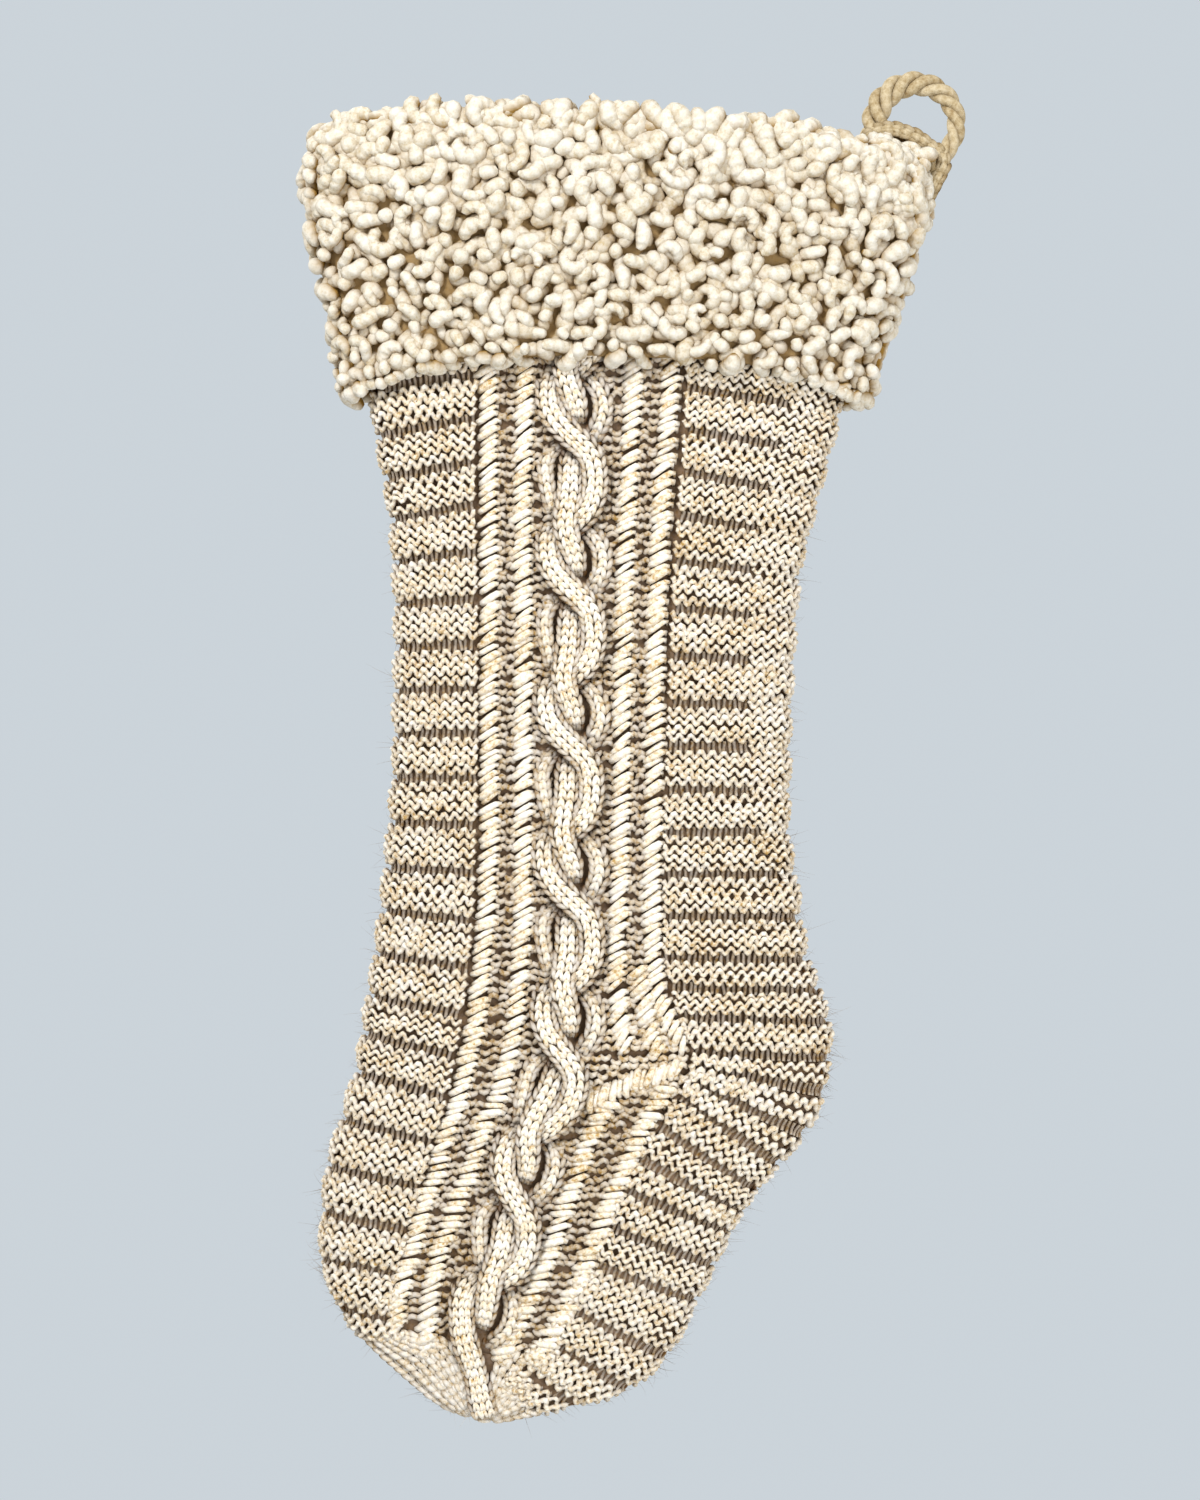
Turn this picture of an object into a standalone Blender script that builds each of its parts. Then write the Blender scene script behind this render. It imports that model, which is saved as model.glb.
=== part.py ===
"""Hanging stocking: a hand-knitted Christmas stocking with a turned-down boucle cuff.

Metres, +Z up.  The stocking hangs by the cord loop at its top corner, with its cabled
front towards -Y and its toe pointing down and to -X.  The origin is the point inside the
top of the loop that bears on a hook.
"""
import math

import bmesh
import bpy
from mathutils import Vector

MM = 0.001
COLLECTION = "hanging_stocking"

# ---- driving dimensions (millimetres) -------------------------------------------------
FABRIC = 5.0          # thickness of the knitted wool fabric
TOE_FABRIC = 3.5      # the decreased toe is knitted tighter
BOUCLE = 10.0         # thickness of the looped boucle cuff
SEAM_RADIUS = 1.6     # rolled edge of a mattress-stitched seam
SEAM_HALF_GAP = 2.9   # the panels stop this far either side of a seam's middle
CLEARANCE = 0.8       # gap between two knitted sections, along the surface
TOE_CLEARANCE = 2.0   # the same at the toe, where the tube narrows
COURSE_SPACING = 22.0 # typical distance between two lines of TUBE
AROUND = 500.0        # distance round the tube that u = 1 stands for beside the heel
SQUARENESS = 3.0      # exponent of the flattened tube's superellipse section
BOW_POWER = 3.0       # how sharply a bowed row drops towards its two ends

LOOP_CENTRE = (0.6, -11.5)    # x, z of the hanging loop's round part
LOOP_RADIUS = 16.5            # to the middle of the cord
CORD_RADIUS = 4.5
LOOP_ROOT_RADIUS = 2.0        # the cord is whipped thin where it is sewn in
LOOP_ROOT_TOP = (-16.4, -14.4)     # the loop's sewn root on the cuff's top edge
LOOP_ROOT_SIDE = (10.8, -28.0)     # the loop's sewn root at the cuff's side seam
ROOT_GAP = 2.7                # the stitches start this far below the swing axis
STITCH_RADIUS = 2.2
JOINING_YARN_RADIUS = 1.2

# One line for each knitted course that shapes the tube, from the top rim to the toe:
# left edge x, z, right edge x, z, half depth of the tube, rise of the course's middle.
TUBE = (
    (-229, -15, -14, -26, 12, 8),        # top rim, hidden by the cuff
    (-229, -65, -14, -65, 13, 8),
    (-222, -97, -27, -97, 13.5, 9),
    (-217, -127, -33, -128, 13.5, 10),   # the cuff's lower edge
    (-213, -145, -38, -147, 14, 7),
    (-208, -180, -48, -181, 14, 3),
    (-207, -218, -52, -218, 14, 0),
    (-208, -280, -54, -276, 14, 0),
    (-211, -320, -52, -316, 14, 0),      # narrowest part of the ankle
    (-214, -343, -47, -347, 14.5, 0),
    (-217, -365, -38, -371, 15.5, 0),
    (-220, -387, -37, -390, 16, 0),      # fullest part of the heel
    (-224, -403, -42, -411, 16, 0),
    (-232, -422, -60, -435, 15, 0),
    (-235, -438, -76, -457, 14, 0),
    (-238, -462, -89, -483, 14, 0),
    (-235, -483, -102, -509, 13, 0),
    (-219, -504, -123, -525, 12, 0),
    (-195, -526, -149, -530.5, 9.5, 0),
    (-181, -533, -167, -534.5, 7, 0),    # end of the toe
)
HEEL_START, HEEL_END = 9.5, 13.2    # courses, counted along TUBE
TOE_START = 16.6
HEEL_SIDE = 0.40                    # heel and sole start this far right of the middle

# The same for the outside of the turned-down cuff.
CUFF = (
    (-241, -15, 3, -29, 24, 12),
    (-247, -31, 5.6, -43, 25.5, 12),
    (-245, -53, 1, -61, 26, 12),
    (-239, -81, -6, -85, 26, 12),
    (-235, -105, -13, -105, 26, 13),
    (-232, -122, -18, -124, 25, 14),
)

COURSES_PER_STATION = 2       # rows of faces between two lines of TUBE
FACES_LEFT, FACES_RIGHT = 10, 8     # across a panel, either side of the heel's line


# ---- shape functions ------------------------------------------------------------------
def clear_scene():
    for thing in list(bpy.data.objects):
        bpy.data.objects.remove(thing, do_unlink=True)


def new_collection(name):
    group = bpy.data.collections.new(name)
    bpy.context.scene.collection.children.link(group)
    return group


def wool(name, colour, roughness):
    material = bpy.data.materials.new(name)
    material.use_nodes = True
    shader = material.node_tree.nodes["Principled BSDF"]
    shader.inputs["Base Color"].default_value = (*colour, 1.0)
    shader.inputs["Roughness"].default_value = roughness
    shader.inputs["Metallic"].default_value = 0.0
    return material


def course(table, s):
    """The six values of a shaping table at the course s, on a smooth curve."""
    last = len(table) - 1
    s = min(max(s, 0.0), float(last))
    i = min(int(s), last - 1)
    f = s - i
    before, here = table[max(i - 1, 0)], table[i]
    after, beyond = table[i + 1], table[min(i + 2, last)]
    values = []
    for a, b, c, d in zip(before, here, after, beyond):
        bend = 2 * a - 5 * b + 4 * c - d
        twist = 3 * (b - c) - a + d
        values.append(b + 0.5 * f * ((c - a) + f * (bend + f * twist)))
    return values


def on_tube(table, s, u, inset=0.0):
    """A point in mm on the flattened tube: u runs 0 left, 0.25 front, 0.5 right, 0.75 back."""
    xl, zl, xr, zr, depth, bow = course(table, s)
    left, right = Vector((xl, 0, zl)), Vector((xr, 0, zr))
    across = (right - left).normalized()
    up = Vector((-across.z, 0, across.x))
    half_width = (right - left).length / 2 - inset
    angle = math.pi + 2 * math.pi * u
    power = 2 / SQUARENESS
    t = math.copysign(abs(math.cos(angle)) ** power, math.cos(angle))
    y = math.copysign(abs(math.sin(angle)) ** power, math.sin(angle)) * (depth - inset)
    point = (left + right) / 2 + across * (t * half_width)
    point += up * (bow * (1 - abs(t) ** BOW_POWER))
    point.y = y
    return point


def seam_u(depth):
    """How far round the tube, from its edge, a panel stops to leave room for a seam."""
    return (SEAM_HALF_GAP / depth) ** (SQUARENESS / 2) / (2 * math.pi)


def side_u(t):
    """How far round the front a line lies that is t of the half width right of the middle."""
    angle = 2 * math.pi - math.acos(abs(t) ** (SQUARENESS / 2))
    return (angle - math.pi) / (2 * math.pi)


def spread(start, end, count):
    return [start + (end - start) * k / count for k in range(count + 1)]


def from_edge(edge, end, count):
    """Like spread, but closer together at the tube's tightly curved edge."""
    return [edge + (end - edge) * (k / count) ** 1.5 for k in range(count + 1)]


def finish_mesh(group, name, mesh, material, angle=50):
    thing = bpy.data.objects.new(name, mesh)
    group.objects.link(thing)
    mesh.materials.append(material)
    mesh.shade_smooth()
    mesh.set_sharp_from_angle(angle=math.radians(angle))
    return thing


def fabric(group, name, material, table, blocks, thickness, close_end=False):
    """A solidified patch of the tube.  A block is (list of s, list of u); blocks that share
    grid lines are welded into one patch."""
    bm = bmesh.new()
    vertices = {}

    def vertex(s, u):
        key = (round(s, 4), round(u % 1.0, 5))
        if key not in vertices:
            vertices[key] = bm.verts.new(on_tube(table, s, u) * MM)
        return vertices[key]

    for rows, columns in blocks:
        for s0, s1 in zip(rows, rows[1:]):
            for u0, u1 in zip(columns, columns[1:]):
                corners = (vertex(s0, u0), vertex(s1, u0), vertex(s1, u1), vertex(s0, u1))
                bm.faces.new(corners)
    if close_end:
        rows, columns = blocks[0]
        ring = [vertex(rows[-1], u) for u in columns[:-1]]
        bm.faces.new(list(reversed(ring)))
    bmesh.ops.recalc_face_normals(bm, faces=bm.faces)
    outward_test(bm)
    mesh = bpy.data.meshes.new(name)
    bm.to_mesh(mesh)
    bm.free()
    thing = finish_mesh(group, name, mesh, material)
    shell = thing.modifiers.new("fabric thickness", "SOLIDIFY")
    shell.thickness = thickness * MM
    shell.offset = -1.0
    return thing


def outward_test(bm):
    """Turn a patch over if its faces look at the middle of the tube."""
    bm.normal_update()
    balance = sum(face.normal.y * face.calc_center_median().y * face.calc_area()
                  for face in bm.faces)
    if balance < 0:
        bmesh.ops.reverse_faces(bm, faces=bm.faces)


def cord(group, name, material, points, radius, end_scale=None, cyclic=False, sides=3):
    """A round cord through points in mm; end_scale thins each end to that share."""
    curve = bpy.data.curves.new(name, "CURVE")
    curve.dimensions = "3D"
    curve.bevel_depth = radius * MM
    curve.bevel_resolution = sides
    curve.use_fill_caps = not cyclic
    spline = curve.splines.new("POLY")
    spline.points.add(len(points) - 1)
    spline.use_cyclic_u = cyclic
    last = len(points) - 1
    for i, (point, place) in enumerate(zip(spline.points, points)):
        point.co = (*(Vector(place) * MM), 1.0)
        if end_scale:
            point.radius = min(1.0, end_scale + (1 - end_scale) * min(i, last - i) / 3)
    curve.materials.append(material)
    thing = bpy.data.objects.new(name, curve)
    group.objects.link(thing)
    return thing


def loop_points():
    """The hanging loop: three quarters of a circle, then down to the side seam."""
    cx, cz = LOOP_CENTRE
    first = math.atan2(LOOP_ROOT_TOP[1] - cz, LOOP_ROOT_TOP[0] - cx) % (2 * math.pi)
    last = math.radians(-28)
    points = [(LOOP_ROOT_TOP[0], 0, LOOP_ROOT_TOP[1])]
    for angle in spread(first, last, 22)[1:]:
        points.append((cx + LOOP_RADIUS * math.cos(angle), 0, cz + LOOP_RADIUS * math.sin(angle)))
    end = Vector((LOOP_ROOT_SIDE[0], 0, LOOP_ROOT_SIDE[1]))
    start = Vector(points[-1])
    for share in (0.36, 0.7, 1.0):
        points.append(tuple(start.lerp(end, share)))
    return points


def root_direction():
    """Straight down the stocking from the swing axis, at right angles to it."""
    top, side = Vector((LOOP_ROOT_TOP[0], 0, LOOP_ROOT_TOP[1])), Vector(
        (LOOP_ROOT_SIDE[0], 0, LOOP_ROOT_SIDE[1]))
    axis = (side - top).normalized()
    return Vector((axis.z, 0, -axis.x))


# ---- the pieces -----------------------------------------------------------------------
def make_loop(group, jute):
    cord(group, "hanging_loop", jute, loop_points(), CORD_RADIUS,
         end_scale=LOOP_ROOT_RADIUS / CORD_RADIUS)


def make_loop_stitches(group, jute):
    down = root_direction()
    top = Vector((LOOP_ROOT_TOP[0], 0, LOOP_ROOT_TOP[1])) + down * ROOT_GAP
    cord(group, "loop_stitch_top", jute, [top, (-17.5, 0, -19.6), (-17.4, 0, -22.4)],
         STITCH_RADIUS)
    side = Vector((LOOP_ROOT_SIDE[0], 0, LOOP_ROOT_SIDE[1])) + down * ROOT_GAP
    cord(group, "loop_stitch_side", jute, [side, (8.9, 0, -35), (8.6, 0, -40), (8.3, 0, -45)],
         STITCH_RADIUS)


def make_cuff(group, boucle):
    gap = seam_u(CUFF[0][4])
    rows = spread(0, len(CUFF) - 1, 12)
    half = from_edge(0.5 + gap, 1.0, 22)
    columns = half + [2.0 - u for u in reversed(half[:-1])]
    fabric(group, "cuff", boucle, CUFF, [(rows, columns)], BOUCLE)
    edge = [on_tube(CUFF, s, 0.5, inset=SEAM_RADIUS) for s in spread(0.05, 4.95, 20)]
    cord(group, "cuff_seam", boucle, edge, SEAM_RADIUS, sides=2)


def make_joining_yarn(group, oatmeal):
    lift = Vector((0, 0, JOINING_YARN_RADIUS + 0.5))
    ring = [on_tube(TUBE, 0, u, inset=FABRIC / 2) + lift for u in spread(0, 1, 64)[:-1]]
    cord(group, "cuff_joining_yarn", oatmeal, ring, JOINING_YARN_RADIUS, cyclic=True, sides=2)


def make_panels(group, oatmeal):
    """Front and back run from the rim to the toe; below the heel they keep only their
    left side, and the heel and the sole wrap round the right side."""
    gap = seam_u(TUBE[0][4])
    split = side_u(HEEL_SIDE)
    above = spread(0, HEEL_START, int(HEEL_START * COURSES_PER_STATION))
    below = spread(HEEL_START, TOE_START, int((TOE_START - HEEL_START) * COURSES_PER_STATION))
    left = from_edge(gap, split, FACES_LEFT)
    right = from_edge(0.5 - gap, split, FACES_RIGHT)[::-1]
    sides = {"front_panel": lambda u: u, "back_panel": lambda u: 1 - u}
    for name, place in sides.items():
        left_u, right_u = [place(u) for u in left], [place(u) for u in right]
        blocks = [(above, left_u), (above, right_u), (below, left_u)]
        fabric(group, name, oatmeal, TUBE, blocks, FABRIC)


def make_heel_and_sole(group, oatmeal):
    split = side_u(HEEL_SIDE) + CLEARANCE / AROUND
    columns = spread(split, 1 - split, 18)
    gap = CLEARANCE / COURSE_SPACING
    heel_rows = spread(HEEL_START + gap, HEEL_END, 9)
    fabric(group, "heel_cup", oatmeal, TUBE, [(heel_rows, columns)], FABRIC)
    sole_rows = spread(HEEL_END + gap, TOE_START, 8)
    fabric(group, "sole_panel", oatmeal, TUBE, [(sole_rows, columns)], FABRIC)


def make_toe(group, oatmeal):
    last = len(TUBE) - 1
    rows = spread(TOE_START + TOE_CLEARANCE / COURSE_SPACING, last, 7)
    fabric(group, "toe_cap", oatmeal, TUBE, [(rows, spread(0, 1, 32))], TOE_FABRIC,
           close_end=True)
    bm = bmesh.new()
    bmesh.ops.create_uvsphere(bm, u_segments=12, v_segments=8, radius=2.6 * MM)
    mesh = bpy.data.meshes.new("toe_closing_stitch")
    bm.to_mesh(mesh)
    bm.free()
    knot = finish_mesh(group, "toe_closing_stitch", mesh, oatmeal)
    knot.location = Vector((-174.2, 0, -537)) * MM


def make_seams(group, oatmeal):
    left = [on_tube(TUBE, s, 0.0, inset=SEAM_RADIUS) for s in spread(0.05, TOE_START - 0.05, 50)]
    cord(group, "instep_seam", oatmeal, left, SEAM_RADIUS, sides=2)
    right = [on_tube(TUBE, s, 0.5, inset=SEAM_RADIUS) for s in spread(0.05, HEEL_START - 0.1, 34)]
    cord(group, "calf_seam", oatmeal, right, SEAM_RADIUS, sides=2)


def main():
    clear_scene()
    group = new_collection(COLLECTION)
    oatmeal = wool("oatmeal wool", (0.57, 0.46, 0.30), 0.9)
    boucle = wool("cream boucle", (0.83, 0.77, 0.64), 0.92)
    jute = wool("tan plied cord", (0.50, 0.37, 0.21), 0.88)
    make_loop(group, jute)
    make_loop_stitches(group, jute)
    make_cuff(group, boucle)
    make_joining_yarn(group, oatmeal)
    make_panels(group, oatmeal)
    make_heel_and_sole(group, oatmeal)
    make_toe(group, oatmeal)
    make_seams(group, oatmeal)


main()
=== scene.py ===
"""Visual model of the hanging stocking: real yarn paths over thin fabric shells.

Lengths are millimetres until a mesh is built, in the frame of the CAD model: the origin is
the loop's bearing point, the cabled front faces -Y, +Z is up.
"""
import math

import bpy
import numpy as np
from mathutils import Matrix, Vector


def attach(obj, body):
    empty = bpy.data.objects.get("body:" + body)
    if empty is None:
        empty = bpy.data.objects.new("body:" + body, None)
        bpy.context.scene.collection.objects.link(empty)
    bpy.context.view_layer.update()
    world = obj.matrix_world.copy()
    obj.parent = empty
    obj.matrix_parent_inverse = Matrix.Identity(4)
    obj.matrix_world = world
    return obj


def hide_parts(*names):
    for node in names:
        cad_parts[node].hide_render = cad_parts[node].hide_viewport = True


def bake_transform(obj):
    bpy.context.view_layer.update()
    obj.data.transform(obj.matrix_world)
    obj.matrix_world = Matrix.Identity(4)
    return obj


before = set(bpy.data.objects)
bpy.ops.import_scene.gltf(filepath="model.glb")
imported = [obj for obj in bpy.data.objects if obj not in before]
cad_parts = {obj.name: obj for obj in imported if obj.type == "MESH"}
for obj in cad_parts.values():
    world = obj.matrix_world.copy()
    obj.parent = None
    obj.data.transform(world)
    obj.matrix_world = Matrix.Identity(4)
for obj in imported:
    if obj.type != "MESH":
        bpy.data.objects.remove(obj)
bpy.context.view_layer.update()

MM = 0.001
RANDOM = np.random.default_rng(24)

# ---- the shape that the CAD solids have, repeated -------------------------------------
SQUARENESS = 3.0
BOW_POWER = 3.0
TUBE = np.array((
    (-229, -15, -14, -26, 12, 8),
    (-229, -65, -14, -65, 13, 8),
    (-222, -97, -27, -97, 13.5, 9),
    (-217, -127, -33, -128, 13.5, 10),
    (-213, -145, -38, -147, 14, 7),
    (-208, -180, -48, -181, 14, 3),
    (-207, -218, -52, -218, 14, 0),
    (-208, -280, -54, -276, 14, 0),
    (-211, -320, -52, -316, 14, 0),
    (-214, -343, -47, -347, 14.5, 0),
    (-217, -365, -38, -371, 15.5, 0),
    (-220, -387, -37, -390, 16, 0),
    (-224, -403, -42, -411, 16, 0),
    (-232, -422, -60, -435, 15, 0),
    (-235, -438, -76, -457, 14, 0),
    (-238, -462, -89, -483, 14, 0),
    (-235, -483, -102, -509, 13, 0),
    (-219, -504, -123, -525, 12, 0),
    (-195, -526, -149, -530.5, 9.5, 0),
    (-181, -533, -167, -534.5, 7, 0),
), dtype=float)
CUFF = np.array((
    (-241, -15, 3, -29, 24, 12),
    (-247, -31, 5.6, -43, 25.5, 12),
    (-245, -53, 1, -61, 26, 12),
    (-239, -81, -6, -85, 26, 12),
    (-235, -105, -13, -105, 26, 13),
    (-232, -122, -18, -124, 25, 14),
), dtype=float)
TOE_START = 16.6       # course of the tube where the toe begins
SEAM_END = 18.6        # course of the tube where both side seams end, near the toe's tip
LOOP_CENTRE, LOOP_RADIUS = (0.6, -11.5), 16.5
LEG_HALF_WIDTH = 77    # half the leg's width, over which its edge rounds off
COURSE = 21.4          # height of the cuff between two lines of its table
TINY = 1e-9            # keeps a division by a length of nought harmless

# ---- how the stocking is knitted ------------------------------------------------------
STITCH = 4.4          # width of one purl bump
YARN = 1.20           # radius of the wool yarn where it stands proud
ROW = 3.55            # distance between two rows of bumps
BUMP_RISE = 3.9       # how far a welt puffs out beyond the ground fabric
GROOVE = 3.4          # height of the sunken knit row between two welts
CABLE_HALF = 14.8     # half the width of the cable
CABLE_REPEAT = 61.5   # length of one repeat of the cable
FIRST_TIP = 17.6      # where the first tongue tip is, down from the cuff's edge

# Where the sunken rows run: number, outer x, z, inner x, z.  Between the lines given the
# others are spaced evenly; whole numbers are grooves.
WELTS_LEFT = (
    (-2.0, -219, -100, -175, -97),
    (-1.0, -217, -119, -176, -114),
    (0.0, -215, -138, -177, -132),
    (2.0, -209, -172, -177, -166.5),
    (4.0, -207, -206, -176, -204.4),
    (8.0, -208, -276, -176, -276),
    (11.0, -213, -330, -178, -333),
    (13.0, -218, -364, -182, -371),
    (15.0, -223, -395, -188, -404),
    (17.0, -235, -433, -199, -440),
    (19.0, -238, -470, -208, -475),
    (20.0, -230, -491, -208, -494),
    (21.0, -221, -503, -203, -506),
)
WELTS_RIGHT = (
    (-2.0, -21, -96, -92, -88),
    (-1.0, -25, -108, -93, -102),
    (0.0, -33, -129, -93, -119.5),
    (2.0, -42, -163, -95, -153),
    (4.0, -50, -194.5, -98, -189),
    (7.0, -53, -247, -100, -246),
    (10.0, -54, -298, -102, -298),
    (13.0, -46, -349, -102, -348),
    (15.0, -37, -374, -96, -371.5),
    (16.0, -37, -388, -90, -385.5),
    (17.0, -39, -402, -91, -390.5),
    (18.0, -46, -419, -92, -396.5),
    (19.0, -57, -431, -96, -402),
    (20.0, -66, -441, -104, -415),
    (21.0, -72, -450, -114, -427),
    (22.0, -77, -458, -118, -441),
    (23.0, -83, -472, -125, -455),
    (24.0, -90, -486, -135, -469),
    (25.0, -102, -509, -142, -487),
    (26.0, -117, -522, -150, -500),
    (27.0, -139, -528, -162, -510),
    (28.0, -158, -532.5, -168, -522),
)

# Middle lines of the upright columns, x and z, from the cuff down.
RIB_A = ((-172, -100), (-171.6, -165), (-171.6, -245), (-171.6, -305), (-174.4, -349),
         (-177, -375), (-184, -405), (-189, -420), (-193, -434), (-198.6, -450),
         (-202.6, -465), (-206.4, -478), (-208.5, -490), (-209, -503))
RIB_B = ((-157, -98), (-158, -175), (-158, -317), (-159.6, -357), (-162.4, -381),
         (-167.2, -401), (-172.8, -413), (-178, -429), (-182.8, -442), (-188.8, -458),
         (-192.4, -470), (-195.2, -485), (-197, -500), (-197, -509))
CABLE = ((-137.5, -97), (-137.5, -150), (-137.8, -205), (-139, -297), (-138.7, -357),
         (-141, -378), (-144.6, -397), (-150, -410), (-154, -425), (-159, -437), (-163, -451),
         (-165, -465), (-168, -479), (-174, -491), (-178, -503), (-177, -518), (-173.5, -535))
RIB_C = ((-113, -97), (-116, -165), (-118, -220), (-118.8, -285), (-120.4, -349),
         (-119, -374), (-115, -388))
RIB_D = ((-98, -98), (-102, -157), (-103.6, -189), (-105, -225), (-105.6, -269),
         (-106.4, -337), (-104.4, -360), (-99.5, -374), (-93, -384))
FOOT_RIB_C = ((-123, -405), (-128.8, -415), (-132.8, -425), (-137.2, -438), (-142, -450.5),
              (-146, -463), (-150, -473), (-155.2, -485), (-160, -495), (-164, -504), (-167, -513))
FOOT_RIB_D = ((-100, -399), (-106.5, -410), (-113, -423), (-119, -437), (-125, -451),
              (-131, -465), (-136.5, -479), (-142.5, -492), (-149, -504), (-158, -514))
# The unseen back: its middle rib, and the height at which each welt on the right meets it.
BACK_RIB = ((-127, -20), (-125, -97), (-128, -180), (-131, -280), (-131, -345), (-129, -377),
            (-133, -407), (-146, -429), (-156, -448), (-164, -473), (-169, -496), (-171, -515),
            (-173, -533))
BACK_CENTRE_Z = ((-2, -90), (15, -371), (16, -386), (17, -392), (18, -400), (19, -409),
                 (20, -420), (21, -431), (22, -443), (23, -456), (24, -470), (25, -487),
                 (26, -503), (27, -517), (28, -528))
# The short rib above the heel's turn, and the stitches picked up along the heel.
HEEL_RIB = ((-112, -352), (-110, -366), (-107, -378), (-102, -390))
PICK_UP = ((-132, -405), (-122, -401), (-111, -396), (-101, -393.5), (-92, -392))


# ---- curves and surfaces --------------------------------------------------------------
def unit(vectors):
    return vectors / (np.linalg.norm(vectors, axis=-1, keepdims=True) + TINY)


def distances(points):
    """How far along a line of points each of them lies."""
    return np.concatenate([[0], np.cumsum(np.linalg.norm(np.diff(points, axis=0), axis=1))])


def in_space(xz, y):
    """Points from x and z in the plane of the front, and the depth y."""
    return np.stack(np.broadcast_arrays(xz[..., 0], y, xz[..., 1]), axis=-1)


def rightward(down):
    """The direction across an upright line, to its right."""
    return np.stack([-down[:, 1], down[:, 0]], axis=-1) * np.sign(-down[:, 1:2])


def smooth_rows(table, s):
    """Values of a table with evenly numbered lines, on a smooth curve, for an array s."""
    s = np.clip(np.asarray(s, dtype=float), 0, len(table) - 1)
    i = np.minimum(s.astype(int), len(table) - 2)
    f = (s - i)[..., None]
    a, b = table[np.maximum(i - 1, 0)], table[i]
    c, d = table[i + 1], table[np.minimum(i + 2, len(table) - 1)]
    return b + 0.5 * f * ((c - a) + f * (2 * a - 5 * b + 4 * c - d + f * (3 * (b - c) - a + d)))


def on_tube(table, s, u, inset=0.0):
    """Points on the flattened tube: u runs 0 left, 0.25 front, 0.5 right, 0.75 back."""
    xl, zl, xr, zr, depth, bow = np.moveaxis(smooth_rows(table, s), -1, 0)
    wide = np.hypot(xr - xl, zr - zl)
    ex, ez = (xr - xl) / wide, (zr - zl) / wide
    angle = np.pi + 2 * np.pi * np.asarray(u, dtype=float)
    power = 2 / SQUARENESS
    t = np.sign(np.cos(angle)) * np.abs(np.cos(angle)) ** power
    y = np.sign(np.sin(angle)) * np.abs(np.sin(angle)) ** power * (depth - inset)
    along = t * (wide / 2 - inset)
    lift = bow * (1 - np.abs(t) ** BOW_POWER)
    x = (xl + xr) / 2 + ex * along - ez * lift
    z = (zl + zr) / 2 + ez * along + ex * lift
    return np.stack(np.broadcast_arrays(x, y, z), axis=-1)


def keyed(table, number):
    """Values of a table whose first column is a number, for an array of numbers."""
    table = np.asarray(table, dtype=float)
    return np.stack([np.interp(number, table[:, 0], table[:, k])
                     for k in range(1, table.shape[1])], axis=-1)


class Route:
    """A smooth line through given points in the plane of the front."""

    def __init__(self, points):
        table = np.asarray(points, dtype=float)
        fine = smooth_rows(table, np.linspace(0, len(table) - 1, 40 * len(table)))
        steps = np.hypot(*np.diff(fine, axis=0).T)
        self.fine = fine
        self.length_at = np.concatenate([[0], np.cumsum(steps)])
        self.length = self.length_at[-1]

    def at(self, length):
        return np.stack([np.interp(length, self.length_at, self.fine[:, k]) for k in (0, 1)],
                        axis=-1)

    def heading(self, length):
        return unit(self.at(np.asarray(length) + 1.0) - self.at(np.asarray(length) - 1.0))

    def at_height(self, z):
        """The point of a mostly upright line that is at height z."""
        order = np.argsort(self.fine[:, 1])
        return np.interp(z, self.fine[order, 1], self.fine[order, 0])


class FrontSurface:
    """Depth of the smooth tube under any point of the front, from its silhouette."""

    def __init__(self, table):
        s = np.linspace(0, len(table) - 1, 700)
        left, right = on_tube(table, s, 0.0), on_tube(table, s, 0.5)
        order = np.argsort(left[:, 2])
        self.left, self.depth = left[order], smooth_rows(table, s)[order, 4]
        self.right = right[np.argsort(right[:, 2])]

    def y(self, x, z):
        x, z = np.asarray(x, dtype=float), np.asarray(z, dtype=float)
        xl = np.interp(z, self.left[:, 2], self.left[:, 0])
        xr = np.interp(z, self.right[:, 2], self.right[:, 0])
        depth = np.interp(z, self.left[:, 2], self.depth)
        t = np.clip(np.abs((x - (xl + xr) / 2) / ((xr - xl) / 2 + 1e-6)), 0, 0.999)
        return -depth * (1 - t ** SQUARENESS) ** (1 / SQUARENESS)


FRONT = FrontSurface(TUBE)
OUT = np.array((0.0, -1.0, 0.0))


def edge_profile(q, depth, half_width):
    """Across the tube's edge: q is the distance round from its outermost line, positive to
    the front.  Gives the distance in from the edge, y, and the outward normal's two parts."""
    angle = np.linspace(0, np.pi / 2, 160)
    power = 2 / SQUARENESS
    inward = half_width * (1 - np.cos(angle) ** power)
    y = depth * np.sin(angle) ** power
    around = np.concatenate([[0], np.cumsum(np.hypot(np.diff(inward), np.diff(y)))])
    size, side = np.abs(q), np.sign(q)
    d, yy = np.interp(size, around, inward), np.interp(size, around, y)
    dn, yn = np.interp(size + 0.5, around, inward), np.interp(size + 0.5, around, y)
    run = np.hypot(dn - d, yn - yy) + 1e-9
    return d, -side * yy, (yn - yy) / run, -side * (dn - d) / run


def placed(name, data):
    """A new object in the scene."""
    thing = bpy.data.objects.new(name, data)
    bpy.context.scene.collection.objects.link(thing)
    return thing


def give(mesh, name, kind, values):
    """Sets one of the values that the wool materials read, on every point of a mesh."""
    mesh.attributes.new(name, kind, "POINT").data.foreach_set(
        "vector" if kind == "FLOAT_VECTOR" else "value",
        np.asarray(values, dtype=np.float32).reshape(-1))


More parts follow.
